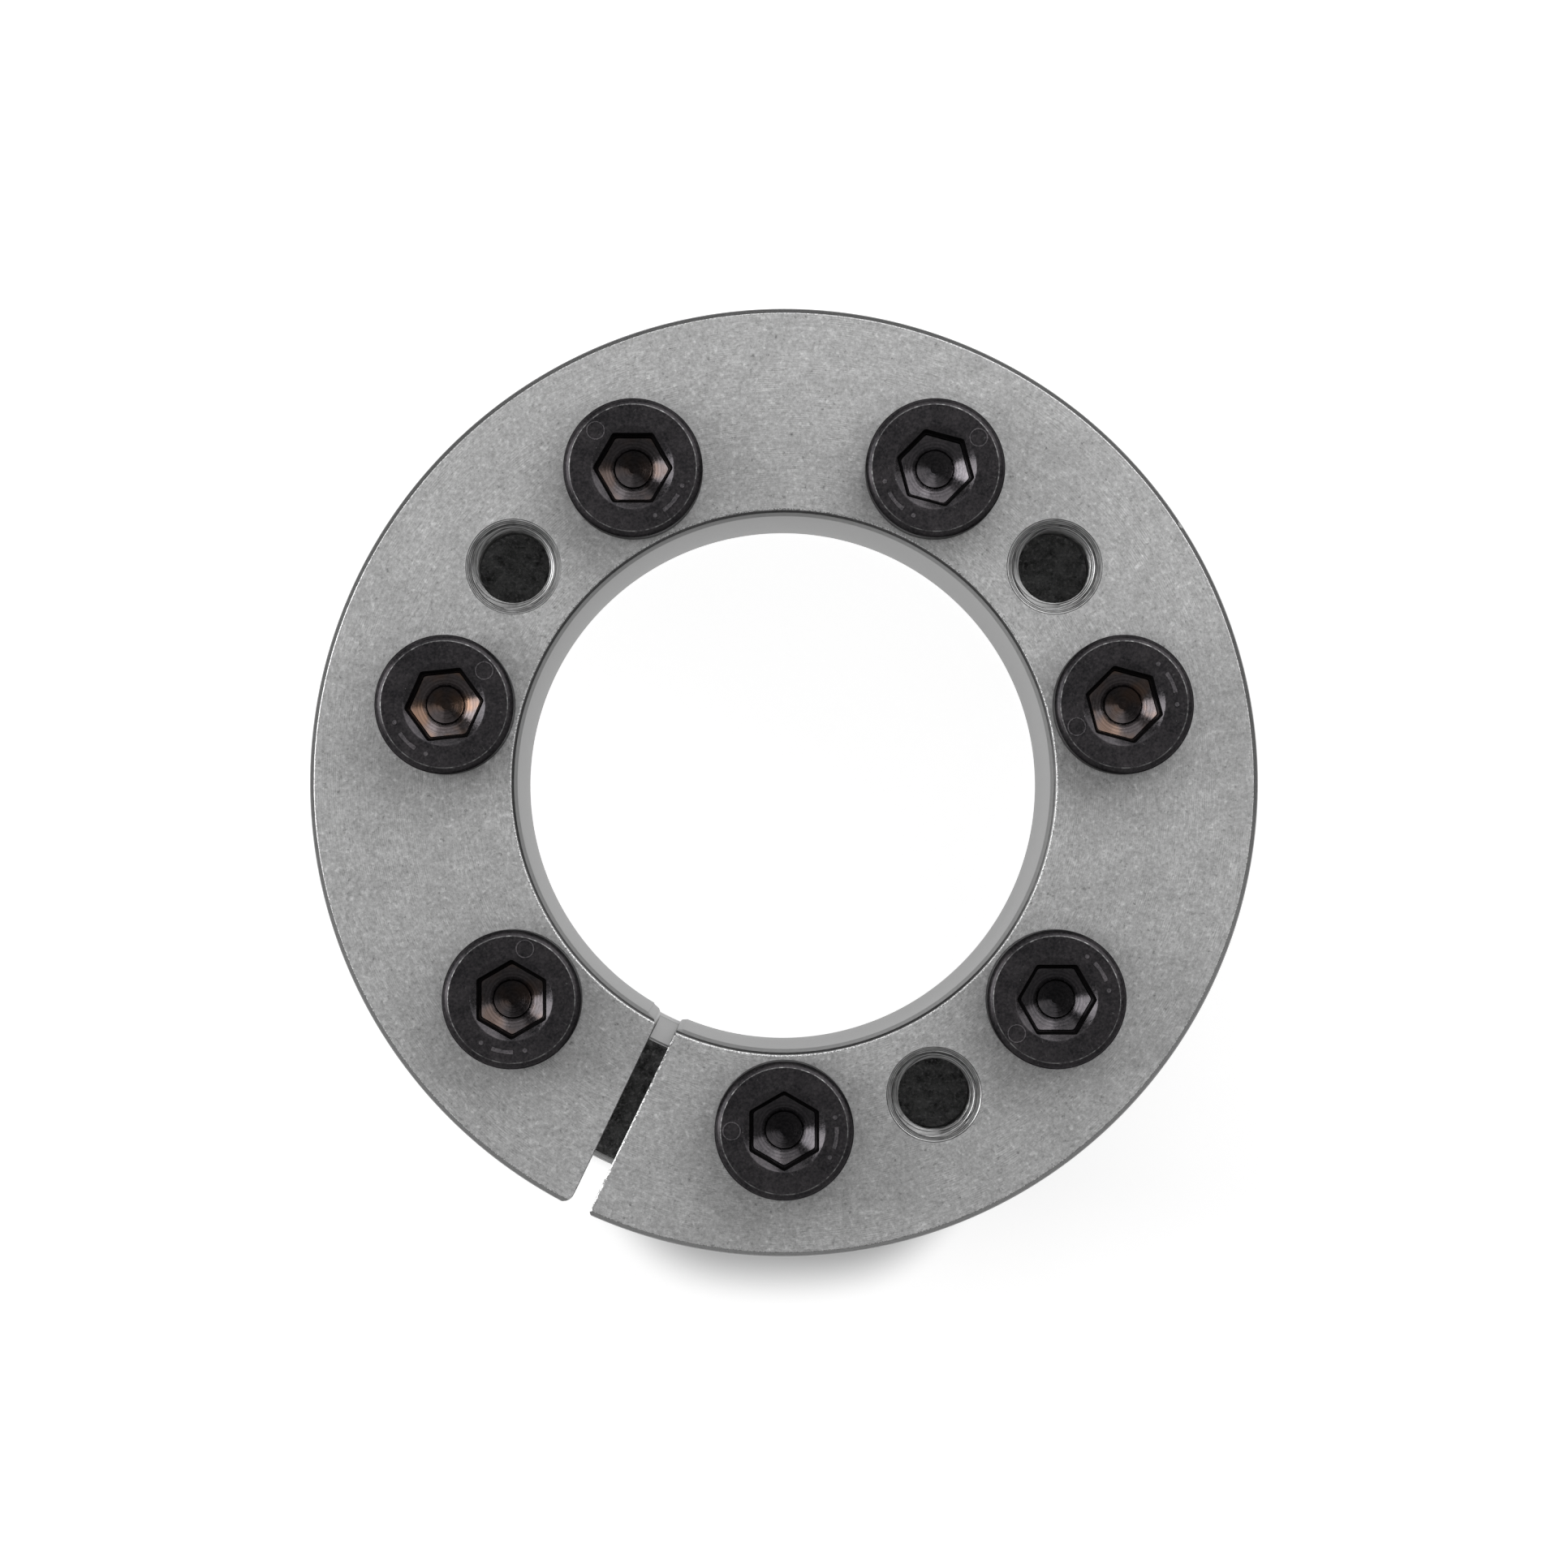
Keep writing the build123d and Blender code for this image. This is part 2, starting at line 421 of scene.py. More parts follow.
def turned_face():
    """Flange's front face: fine turned rings under a tumbled, mottled skin, scuffed round the heads."""
    look = Look("steel_tumbled_face", Metallic=1.0)
    moved = look.node("VectorMath", (look.place, ELSEWHERE)).outputs[0]
    r = look.radius()
    scratches = look.hatch(pitch=0.11, length=0.7)
    phase = look.add(look.times(r, 2 * math.pi / TURNING_FEED), look.noise(0.3, detail=1.0), 4.0)
    lines = look.times(look.math("SINE", phase), LINE_CONTRAST)
    where = look.noise(0.25)
    cloud = look.noise(0.9)
    grain = look.noise(2.8, detail=5.0, roughness=0.9)
    bright = look.spread(look.noise(1.8, roughness=0.6), 0.58, 0.7)
    pits = look.spread(look.noise(2.2, roughness=0.6, place=moved), 0.62, 0.72)
    hatch = look.times(look.math("SUBTRACT", scratches, 0.5), look.spread(where, 0.42, 0.62, 0.1, 0.4))
    hatch = look.add(hatch, lines, look.spread(look.noise(0.4, place=moved), 0.52, 0.66))
    light = look.math("ADD", hatch, FACE_LEVEL)
    for noise, weight in ((grain, 0.95), (cloud, 0.2), (where, 0.14)):
        light = look.vary(light, noise, weight)
    light = look.add(light, bright, 0.14)
    light = look.add(light, pits, -0.2)
    # one distance serves all the heads, because they stand evenly round the axis
    step = 2 * math.pi / SCREW_COUNT
    turn = look.math("SUBTRACT", look.math("ARCTAN2", look.y, look.x), math.radians(screw_angles[0]))
    turn = look.math("DIVIDE", turn, step)
    turn = look.times(look.math("SUBTRACT", turn, look.math("ROUND", turn)), step)
    bolt_r = screw_places[0].length
    square = look.math("MULTIPLY_ADD", r, r, bolt_r ** 2)
    square = look.math("SUBTRACT", square, look.times(look.times(r, 2 * bolt_r), look.math("COSINE", turn)))
    off_scuff = look.off(look.math("SQRT", square), HEAD_R + SCUFF_OFF)
    patchy = look.spread(look.noise(0.5, detail=4.0, place=moved), 0.52, 0.62)
    light = look.add(light, look.times(look.spread(off_scuff, 0.3, 0.05), patchy), 0.1)
    relief = look.add(look.times(grain, 0.6), hatch, 0.8)
    return look.paint(look.grey_of(light), look.add(FACE_ROUGHNESS, grain, 0.2), relief, 0.010)


def turned_round(name, level, pitch=0.12, rough=0.34, metal=1.0):
    """Turned surface whose tool marks run round the axis."""
    look = Look(name, Metallic=metal, Specular_IOR_Level=0.2)
    marks = look.grooves(look.z, pitch)
    feed = look.grooves(look.z, 5 * pitch, wobble=0.1)
    skin = look.noise(3.0, detail=4.0, roughness=0.7)
    light = level
    for noise, weight in ((marks, 0.16), (feed, 0.16), (skin, 0.14)):
        light = look.vary(light, noise, weight)
    return look.paint(look.grey_of(light), look.add(rough - 0.07, feed, 0.14), marks, 0.006)


def sawn(name, level, pitch=0.25, wobble=0.8, contrast=0.25):
    """Slit walls and cut threads: marks along a level line."""
    look = Look(name, Metallic=1.0)
    marks = look.grooves(look.z, pitch, wobble)
    skin = look.noise(2.0, detail=4.0)
    light = look.vary(look.vary(level, marks, contrast), skin, 0.2)
    return look.paint(look.grey_of(light), look.spread(skin, *NOISE_RANGE, 0.3, 0.5), marks, 0.02)


def filed_edge():
    """Edge broken by a file: bright, with ragged marks."""
    look = Look("steel_filed_edge", Metallic=1.0)
    chatter = look.noise(6.0, detail=2.0, roughness=0.7)
    light = look.spread(chatter, 0.4, 0.6, 0.3, 0.8)
    return look.paint(look.grey_of(light), look.spread(chatter, *NOISE_RANGE, 0.3, 0.45), chatter, 0.04)


def scale_face():
    """Dark heat-treated faces of the outer ring, with bright specks."""
    look = Look("steel_scaled_face", Metallic=1.0)
    skin = look.noise(0.8, detail=6.0, roughness=0.9)
    specks = look.spread(look.noise(3.5, detail=2.0, roughness=0.4), 0.55, 0.68)
    light = look.add(look.spread(skin, 0.36, 0.64, 0.03, 0.26), specks, 0.12)
    return look.paint(look.grey_of(light), look.spread(skin, *NOISE_RANGE, 0.3, 0.42), skin, 0.02)


# ---- Black oxide
OXIDE_TINT = (0.12, 0.12, 0.13, 1.0)
# Shares of a finish's level in its dark, pale and burnt patches
OXIDE_DARK = (0.56, 0.55, 0.60)
OXIDE_PALE = (1.72, 1.58, 1.68)
OXIDE_BURNT = (2.3, 1.4, 0.95)
BARE_STEEL = 0.34


def black_oxide(name, level, rough=0.36, metal=0.8, worn_r=None, copper=0.0, drilled_r=None):
    """Oiled black oxide with a faint violet bloom and copper patches.

    A head's round edge is rubbed bright at worn_r. A socket's floor has turned rings, and painted shade
    darkens it inside drilled_r."""
    look = Look(name, Metallic=metal, Specular_Tint=OXIDE_TINT)
    tones = (OXIDE_DARK, OXIDE_PALE, OXIDE_BURNT)
    dark, pale, burnt = (tuple(level * part for part in tone) for tone in tones)
    bloom = look.noise(0.45)
    skin = look.noise(4.0, detail=4.0, roughness=0.65)
    blend = look.add(look.times(bloom, 0.4), skin, 0.6)
    colour = look.colour(look.spread(blend, 0.35, 0.65), dark, pale)
    if copper:
        patches = look.spread(look.noise(0.35, detail=2.0), 0.42, 0.58, 0.15 * copper, copper)
        colour = look.colour(patches, colour, burnt)
    if worn_r:
        broken = look.spread(look.noise(1.7, detail=4.0, roughness=0.7), 0.44, 0.7, 0.1)
        line = look.times(look.spread(look.off(look.radius(), worn_r), 0.07, 0.02), broken)
        rubs = look.spread(look.noise(1.4, detail=5.0, roughness=0.75), 0.64, 0.72)
        colour = look.colour(look.math("MAXIMUM", line, look.times(rubs, 0.35)), colour, grey(BARE_STEEL))
    relief, depth = skin, 0.008
    if drilled_r:
        r = look.radius()
        rings = look.grooves(r, 0.16, wobble=0.05)
        # painted shade in the drilled pit, times the turned rings' own light and dark
        pit_shade_and_rings = look.times(look.spread(r, drilled_r - 0.12, drilled_r + 0.04, 0.45, 1.0),
                            look.spread(rings, 0.35, 0.65, 0.82, 1.15))
        colour = look.node("VectorMath", {"Vector": colour, "Scale": pit_shade_and_rings}, operation="SCALE").outputs[0]
        relief, depth = rings, 0.006
    return look.paint(colour, look.spread(skin, *NOISE_RANGE, rough - 0.08, rough + 0.08), relief, depth)


# ---- Inner ring
sleeve_end_r = bore_r + SLEEVE_END_WALL
sleeve_root_r = sleeve_end_r + flange_back_z * TAPER
MOUTH_CHAMFER = 0.61
MOUTH_EDGE = 0.28  # flatter outer part of the bore's mouth
END_CHAMFER = 0.2
RIM_CHAMFER = 0.42
RIM_SLOPE = 0.88  # height of the rim's front chamfer for its width
EDGE_SLOPE = 0.85  # the same for the mouth's flatter part
ROOT_FILL = 0.4
NICK_ANGLE = 33
NICK_R = 0.42
NICK_DEPTH = 0.32
NICK_OUT = 0.12  # how far outside the rim its middle lies
# How far the flange's slit flares, in plan, on either side of it, and how much the file took off
SLIT_CORNERS = (1.1, 0.5)
SLIT_FILED = 0.2
SLIT_SEED = 17
JACK_SEED = 40
RIDGES = 7  # left by the countersink in a jacking hole's mouth
RIDGE_RISE = 0.034
VALLEY_SHARE = 0.55  # of a ridge's width, from its crest to its valley
MOUTH_SINK = 0.6  # how far the mouth's cutter goes on into the hole
OVERRUN = 1.0  # how far cutters reach past what they cut


def half_width(u, inside, outside, corner):
    """Half of a slit's width at a distance from the axis, flared where it meets the bore and the rim."""
    half = SLIT_HALF
    for into in (u - inside, outside - u):
        if into < corner:
            flare = corner - math.sqrt(max(0.0, corner ** 2 - (corner - max(into, 0.0)) ** 2))
            half = max(half, SLIT_HALF + flare)
    return half


def slit_cutter(name, angle, inside, outside, top, corners, filed):
    """What a slit takes out, with its front edge filed by hand: roughly on the right, lightly on the left."""
    draw = random.Random(SLIT_SEED)
    reach = 3.0
    step = 0.2
    low, high = -OVERRUN, top + 0.5
    rows = []
    for index in range(int((outside - inside + 2 * reach) / step) + 1):
        u = inside - reach + index * step
        left, right = (half_width(u, inside, outside, corner) for corner in corners)
        rough = filed * (0.5 + 0.7 * draw.random())
        thin = filed * 0.3
        section = ((-left, low), (right, low), (right, top - rough * 0.6), (right + rough, top),
                   (right + rough, high), (-left - thin, high), (-left - thin, top), (-left, top - thin))
        rows.append([(u, v, z) for v, z in section])
    cutter = capped_grid(name, rows)
    cutter.data.transform(Matrix.Rotation(math.radians(angle), 4, "Z"))
    return cutter


def jack_cutters(index, place):
    """What a jacking hole takes out: its mouth with the countersink's ridges, and its thread."""
    draw = random.Random(JACK_SEED + index)
    depth = JACK_MOUTH_R - jack_core_r
    outline = [(jack_core_r - MOUTH_SINK, front_z - depth - MOUTH_SINK)]
    for ridge in range(RIDGES):
        crest = ridge / RIDGES
        valley = crest + VALLEY_SHARE / RIDGES
        wave = RIDGE_RISE * (0.6 + 0.8 * draw.random())
        outline.append((jack_core_r + depth * crest, front_z - depth * (1 - crest) + wave))
        outline.append((jack_core_r + depth * valley, front_z - depth * (1 - valley) - wave))
    outline += [(JACK_MOUTH_R, front_z), (JACK_MOUTH_R + 0.3, front_z + 0.3)]
    mouth = capped_grid("mouth", [circle(r, z, MOUTH_SEGMENTS) for r, z in outline])
    thread = helix("thread", flange_back_z - 2.3, front_z + 0.4, JACK_THREAD_R, jack_core_r, HOLE_SEGMENTS)
    for cutter in (mouth, thread):
        cutter.data.transform(Matrix.Translation((place.x, place.y, 0)))
    return [mouth, thread]


def pin(name, place, radius, low, high, segments=HOLE_SEGMENTS):
    """A plain upright cylinder."""
    return capped_grid(name, [circle(radius, z, segments, place) for z in (low, high)])


inner_ring = lathe("inner_ring_turned", rounded([
    (bore_r, END_CHAMFER, 0.05),
    (bore_r + END_CHAMFER, 0, 0.05),
    (sleeve_end_r - END_CHAMFER, 0, 0.05),
    (sleeve_end_r, END_CHAMFER, 0.05),
    (sleeve_root_r, flange_back_z - ROOT_FILL, 0.1),
    (sleeve_root_r + ROOT_FILL, flange_back_z, 0.1),
    (flange_r - RIM_CHAMFER, flange_back_z, 0.1),
    (flange_r, flange_back_z + RIM_CHAMFER, 0.1),
    (flange_r, front_z - RIM_SLOPE * RIM_CHAMFER, 0.1),
    (flange_r - RIM_CHAMFER, front_z, 0.07),
    (bore_r + MOUTH_CHAMFER, front_z, 0.14),
    (bore_r + MOUTH_CHAMFER - MOUTH_EDGE, front_z - EDGE_SLOPE * MOUTH_EDGE, 0.04),
    (bore_r, front_z - 2 * MOUTH_CHAMFER, 0.2),
]), RING_SEGMENTS)
cutters = [slit_cutter("slit", slit_angle, bore_r, flange_r, front_z, SLIT_CORNERS, SLIT_FILED)]
for place in screw_places:
    cutters.append(pin("hole", place, FLANGE_HOLE_R, flange_back_z - OVERRUN, front_z + OVERRUN))
for index, place in enumerate(jack_places):
    cutters += jack_cutters(index, place)
nick_turn = math.radians(NICK_ANGLE)
nick_place = Vector((math.cos(nick_turn), math.sin(nick_turn))) * (flange_r + NICK_OUT)
cutters.append(pin("nick", nick_place, NICK_R, front_z - NICK_DEPTH, front_z + OVERRUN, segments=10))
combine(inner_ring, cutters)

NEAR = 0.05  # slack when a face is told by where it lies
SIDE_WALL = 0.3  # a normal's z below which its face counts as upright
ACROSS = 0.7  # a normal's share towards the rim below which its face counts as a slit's wall
FACE, ROUND, BORE, SAWN, THREAD, FILED, MOUTH = range(7)


def about(centre, normal):
    """A face's place in plan, its distance from the axis and how far its normal points outward."""
    r = math.hypot(centre.x, centre.y)
    return Vector((centre.x, centre.y)), r, (normal.x * centre.x + normal.y * centre.y) / r


def within(flat, places, reach):
    """Whether a face lies near one of the places."""
    return any((flat - place).length < reach for place in places)


def inner_region(centre, normal):
    """Which finish a face of the inner ring has."""
    flat, r, outward = about(centre, normal)
    if abs(normal.z) > FLAT and centre.z > flange_back_z - NEAR:
        return FACE
    if within(flat, jack_places, JACK_MOUTH_R + NEAR):
        return THREAD
    if within(flat, screw_places, FLANGE_HOLE_R + NEAR) and centre.z > flange_back_z:
        return THREAD
    if abs(normal.z) < SIDE_WALL and abs(outward) < ACROSS:
        return SAWN
    if abs(outward) < 0.5 and centre.z > front_z - 0.5:
        return FILED
    if r < bore_r + MOUTH_CHAMFER and outward < 0:
        # the flatter outer part of the mouth, by its slope, which carries a painted shade line
        return MOUTH if 0.6 < normal.z < 0.85 else BORE
    return ROUND


inner_looks = {
    FACE: turned_face(),
    ROUND: turned_round("steel_turned_rim", 0.42, rough=0.22),
    # ground steel whose lowered level and metal are partly painted shade for the dim bore
    BORE: turned_round("steel_ground_bore_painted_shade", 0.36, pitch=0.1, rough=0.45, metal=0.6),
    SAWN: sawn("steel_sawn_slit", 0.34),
    THREAD: sawn("steel_cut_thread", 0.33, pitch=0.09, wobble=0.1, contrast=0.9),
    FILED: filed_edge(),
    # painted shade: the mouth's flatter edge is made dark to show the shadow line round the bore
    MOUTH: turned_round("steel_bore_mouth_painted_shade", 0.14),
}
finish_mesh(inner_ring, inner_looks.values(), inner_region)
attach(inner_ring, "inner_ring")
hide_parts("inner_ring")

# ---- Outer ring
taper_end_r = sleeve_end_r + TAPER_CLEARANCE
taper_mouth_r = taper_end_r + ring_top_z * TAPER
OUTER_CHAMFER = 0.5
TAPER_CHAMFER = 0.2
OUTER_SLIT_CORNERS = (0.5, 0.5)
OUTER_SLIT_FILED = 0.12
TAP_CORE_LIMIT = 3.4
outer_ring = lathe("outer_ring_turned", rounded([
    (taper_end_r, 0, 0),
    (hub_r - OUTER_CHAMFER, 0, 0.1),
    (hub_r, OUTER_CHAMFER, 0.1),
    (hub_r, ring_top_z - OUTER_CHAMFER, 0.1),
    (hub_r - OUTER_CHAMFER, ring_top_z, 0.1),
    (taper_mouth_r + TAPER_CHAMFER, ring_top_z, 0.05),
    (taper_mouth_r, ring_top_z - TAPER_CHAMFER, 0.05),
]), RING_SEGMENTS)
cutters = [slit_cutter("slit", outer_slit_angle, taper_end_r, hub_r, ring_top_z, OUTER_SLIT_CORNERS,
                       OUTER_SLIT_FILED)]
for place, turn in zip(screw_places, SOCKET_TURNS):
    # three more turns take the thread out through the ring's top face
    thread = helix("tapped", 0.0, TAPPED_DEPTH + 3 * PITCH, CREST_R + THREAD_GAP, ROOT_R + THREAD_GAP,
                   SHANK_SEGMENTS, inner_limit=TAP_CORE_LIMIT)
    thread.data.transform(Matrix.Rotation(math.radians(turn), 4, "Z"))
    # it starts a whole number of pitches from the screw's own thread, so that the two mesh
    offset = (front_z + screw_tip - ring_top_z + TAPPED_DEPTH) % PITCH
    thread.data.transform(Matrix.Translation((place.x, place.y, ring_top_z - TAPPED_DEPTH + offset - PITCH)))
    cutters.append(thread)
combine(outer_ring, cutters)

SCALED, OUTSIDE, TAPERED, OUTER_SAWN, TAPPED = range(5)


def outer_region(centre, normal):
    """Which finish a face of the outer ring has."""
    flat, r, outward = about(centre, normal)
    if abs(normal.z) > FLAT and (centre.z > ring_top_z - NEAR or centre.z < NEAR):
        return SCALED
    if within(flat, screw_places, CREST_R + 2 * NEAR):
        return TAPPED
    if abs(outward) < ACROSS and abs(normal.z) < SIDE_WALL:
        return OUTER_SAWN
    return OUTSIDE if r > (hub_r + taper_mouth_r) / 2 else TAPERED


outer_looks = {
    SCALED: scale_face(),
    OUTSIDE: turned_round("steel_ground_outside", 0.38, pitch=0.1, rough=0.24),
    TAPERED: turned_round("steel_ground_taper", 0.4, pitch=0.1, rough=0.45, metal=0.5),
    OUTER_SAWN: sawn("steel_sawn_outer_slit", 0.45),
    TAPPED: sawn("steel_tapped_thread", 0.4),
}
finish_mesh(outer_ring, outer_looks.values(), outer_region)
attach(outer_ring, "outer_ring")
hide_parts("outer_ring")

# ---- Cap screws, each in its own frame with the flange's front face at Z = 0
TOP = head_top - 0.09  # leaves room for the raised marks
EDGE_BAND = 0.58  # width of the head's rounded edge
DISH_R = 3.86  # the lip round the socket
DISH_SLOPE = math.tan(math.radians(30))
DISH_LOW_Z = 6.9
PIT_R = 1.78  # drilled pit in the socket's floor
FLOOR_Z = 3.55
FLOOR_SLOPE = math.tan(math.radians(24))
SHANK_TOP_Z = -1.6
TIP_R = 3.15
# Rings of (radius, height): neck, rounding under the head, and its side
OUTSIDE_RINGS = ((3.6, -2.6), (4.0, -2.2), (4.0, -0.35), (4.1, -0.1), (4.35, 0.0), (6.15, 0.0), (6.4, 0.08),
                 (HEAD_R, 0.3), (HEAD_R, 2.5), (HEAD_R, 5.0), (HEAD_R, 7.0))
TOP_RINGS = (5.5, 5.0, 4.5, 4.05)
# The hexagon's width across flats, and height, down the socket's wall
WALL_RINGS = ((6.2, 7.1), (6.04, 6.6), (5.9, 5.8), (5.86, 4.6))
HEX_CORNER = 0.04  # what the rounding takes off a corner
MOUTH_FLATS = 6.5
FLOOR_FLATS = 5.7
PIT_RINGS = ((PIT_R, FLOOR_Z), (1.69, 3.44), (1.6, 3.41), (1.4, 3.36), (1.0, 3.25), (0.4, 3.08))


def hexagon(turn, flats):
    """Distance from the middle to a hexagon's side, with its corners a little rounded."""
    share = math.radians(math.degrees(turn) % 60 - 30)
    return min(flats / 2 / math.cos(share), flats / 2 / math.cos(math.radians(30)) - HEX_CORNER)


def ring(radius, height):
    """A ring round the screw. Its radius may depend on the turn, and its height on the radius."""
    row = []
    for step in range(HEAD_SEGMENTS):
        turn = 2 * math.pi * step / HEAD_SEGMENTS
        r = radius(turn) if callable(radius) else radius
        z = height(r) if callable(height) else height
        row.append((r * math.cos(turn), r * math.sin(turn), z))
    return row


def hexagon_ring(flats, height):
    return ring(lambda turn: hexagon(turn, flats), height)


def dish(r):
    """Height of the lip that slopes into the socket."""
    return TOP - (DISH_R - r) * DISH_SLOPE


def socket_floor(r):
    """Height of the socket's conical floor."""
    return FLOOR_Z + (r - PIT_R) * FLOOR_SLOPE


def head_rows():
    """Rings of the head and neck from the neck's end, round the outside, to the socket's middle."""
    rows = [ring(r, z) for r, z in OUTSIDE_RINGS]
    crease_r = HEAD_R - EDGE_BAND
    edge = curve(Vector((HEAD_R, 7.25)), Vector((6.42, TOP - 0.16)), Vector((crease_r, TOP - 0.02)), 6)
    rows += [ring(point.x, point.y) for point in edge]
    rows += [ring(r, TOP) for r in (crease_r - 0.05, *TOP_RINGS)]
    rows += [ring(DISH_R + 0.04, TOP - 0.008), ring(DISH_R - 0.04, dish)]
    rows.append(ring(lambda turn: (DISH_R + hexagon(turn, MOUTH_FLATS)) / 2, dish))
    rows.append(hexagon_ring(MOUTH_FLATS + 0.02, dish))
    rows.append(hexagon_ring(MOUTH_FLATS - 0.08, lambda r: dish(r) - 0.12))
    rows += [hexagon_ring(flats, z) for flats, z in WALL_RINGS]
    rows.append(hexagon_ring(FLOOR_FLATS + 0.1, lambda r: socket_floor(r) + 0.06))
    rows.append(hexagon_ring(FLOOR_FLATS, socket_floor))
    for share in (0.66, 0.33):
        rows.append(ring(lambda turn: PIT_R + (hexagon(turn, FLOOR_FLATS) - PIT_R) * share, socket_floor))
    return rows + [ring(r, z) for r, z in PIT_RINGS]


def shank_envelope(z, r):
    """Keeps the thread inside the screw's chamfered tip."""
    z = max(z, screw_tip)
    return z, min(r, TIP_R + (z - screw_tip))


def screw_body():
    """Head, neck and thread of a screw as one closed mesh."""
    head = capped_grid("screw", head_rows())
    shank = helix("shank", screw_tip - PITCH, SHANK_TOP_Z, CREST_R, ROOT_R, SHANK_SEGMENTS, shank_envelope)
    combine(head, [shank], "UNION")
    return head


MARK_R = 4.9  # distance from the screw's middle
MARK_RISE = 0.08
MARK_SUNK = 0.03
MARK_SLOPE = 0.05
MARK_SEGMENTS = 20
RIB_HALF = 0.2
RIB_STEP = 2.5  # degrees between a rib's points
DOT_R = 0.26
ROUND_R, ROUND_HOLE_R = 0.92, 0.72
# For each screw, in degrees, where its round mark stands and its row of marks starts and ends
MARKS = ((180, 15, -30), (220, 55, 10), (205, 50, 0), (35, 245, 195), (135, -20, -65), (40, 250, 200),
         (75, 285, 235))


def raised(outline, inner=None):
    """Rings of a low plateau over an outline, hollow inside an inner one, sunk a little into the head."""
    middle = sum((Vector(point) for point in outline), Vector((0, 0))) / len(outline)
    loops = []
    for loop, sign in ((outline, 1), (inner, -1)):
        if loop:
            points = [Vector(point) for point in loop]
            slope = [point + (middle - point).normalized() * MARK_SLOPE * sign for point in points]
            loops.append([(x, y, TOP - MARK_SUNK) for x, y in loop])
            loops.append([(x, y, TOP + MARK_RISE) for x, y in slope])
    if not inner:
        return loops
    outer_low, outer_high, inner_low, inner_high = loops
    return [inner_low, outer_low, outer_high, inner_high, inner_low]


def mark(target, kind, angle):
    """Adds a raised rib, dot or ring to a head, with no meaning."""
    def disc(radius):
        return [(x, y) for x, y, z in circle(radius, 0, MARK_SEGMENTS)]

    turns = [math.radians(RIB_STEP * step) for step in range(-5, 6)]
    arc = [(MARK_R + RIB_HALF, turn) for turn in turns]
    arc += [(MARK_R - RIB_HALF, turn) for turn in reversed(turns)]
    shapes = {
        "rib": ([(r * math.cos(turn) - MARK_R, r * math.sin(turn)) for r, turn in arc], None),
        "dot": (disc(DOT_R), None),
        "round": (disc(ROUND_R), disc(ROUND_HOLE_R)),
    }
    rows = raised(*shapes[kind])
    size = len(rows[0])
    work = bmesh.new()
    work.from_mesh(target.data)
    place = Matrix.Rotation(math.radians(angle), 4, "Z") @ Matrix.Translation((MARK_R, 0, 0))
    rings = [[work.verts.new(place @ Vector(point)) for point in row] for row in rows]
    for low, high in zip(rings, rings[1:]):
        for point in range(size):
            after = (point + 1) % size
            work.faces.new((low[point], low[after], high[after], high[point]))
    if len(rings) == 2:
        work.faces.new(rings[1])
        work.faces.new(reversed(rings[0]))
    else:
        # a round mark's rings end where they began
        bmesh.ops.remove_doubles(work, verts=rings[0] + rings[-1], dist=1e-6)
    work.to_mesh(target.data)
    work.free()


HEAD, SOCKET, WALL, SHANK, MARK, SCALLOP = range(6)


def screw_region(centre, normal):
    """Which finish a face of a screw has."""
    if centre.z < -NEAR:
        return SHANK
    if math.hypot(centre.x, centre.y) < DISH_R - 0.1 and 1 < centre.z < TOP - 0.02:
        if centre.z > DISH_LOW_Z:
            return SCALLOP if normal.z > 0.75 else WALL
        return SOCKET if normal.z > 0.6 else WALL
    return MARK if centre.z > TOP + 0.01 else HEAD


pattern = screw_body()
head_look = black_oxide("oxide_head", 0.038, worn_r=HEAD_R - EDGE_BAND)
# the raised marks' lighter oxide is a painted highlight for the light catching their slopes
mark_highlight_look = black_oxide("oxide_mark_painted_highlight", 0.13, rough=0.26)
wall_look = black_oxide("oxide_wall", 0.02, rough=0.3)
scallop_look = black_oxide("oxide_scallop", 0.045, rough=0.26, metal=0.9)
shank_look = black_oxide("oxide_thread", 0.03)
# How bright each socket is, and how much copper shows in it
SOCKETS = ((0.045, 0.0), (0.045, 0.0), (0.06, 0.6), (0.07, 0.0), (0.045, 0.35), (0.065, 0.8), (0.045, 0.4))
for index, (place, turn) in enumerate(zip(screw_places, SOCKET_TURNS)):
    name = f"screw_{index + 1}"
    screw = bpy.data.objects.new(f"cap_{name}", pattern.data.copy())
    scene.collection.objects.link(screw)
    round_mark, row_start, row_end = (angle - turn for angle in MARKS[index])
    mark(screw, "round", round_mark)
    for step, kind in enumerate(("dot", "rib", "dot")):
        mark(screw, kind, row_start + (row_end - row_start) * step / 2)
    level, copper = SOCKETS[index]
    socket_look = black_oxide(f"oxide_socket_{index + 1}", level, rough=0.18, metal=1.0, copper=copper,
                              drilled_r=PIT_R)
    looks = {HEAD: head_look, SOCKET: socket_look, WALL: wall_look, SHANK: shank_look, MARK: mark_highlight_look,
             SCALLOP: scallop_look}
    finish_mesh(screw, looks.values(), screw_region)
    stand = Matrix.Translation((place.x * MM, place.y * MM, front_z * MM))
    screw.matrix_world = stand @ Matrix.Rotation(math.radians(turn), 4, "Z")
    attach(screw, name)
    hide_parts(name)
bpy.data.objects.remove(pattern)

# ---- Floor
FLOOR_HALF = 30.0  # metres
FLOOR_DROP = 0.00003  # metres below the part's back faces, so that the two don't share a plane
# Its emission for the camera, and where it changes, in millimetres
BORE_GLOW = 0.92
SLIT_GLOW = 0.75
OPEN_GLOW = 0.7  # away from the part
SHADOW_GLOW = 0.3
LOWER_SHADE = 0.22  # how much darker the shadow is on the part's lower side
LOWER_REACH = 5.5  # and how much further out
MIRRORED_GLOW = 0.4  # what metal shows of the floor
PATCH_MIDDLE = 45.5  # middle of the light patch under the slit, from the axis
SHADOW_START, SHADOW_END = 40.5, 46.5
FAR_START, FAR_END = 100.0, 400.0  # between which the floor brightens to white


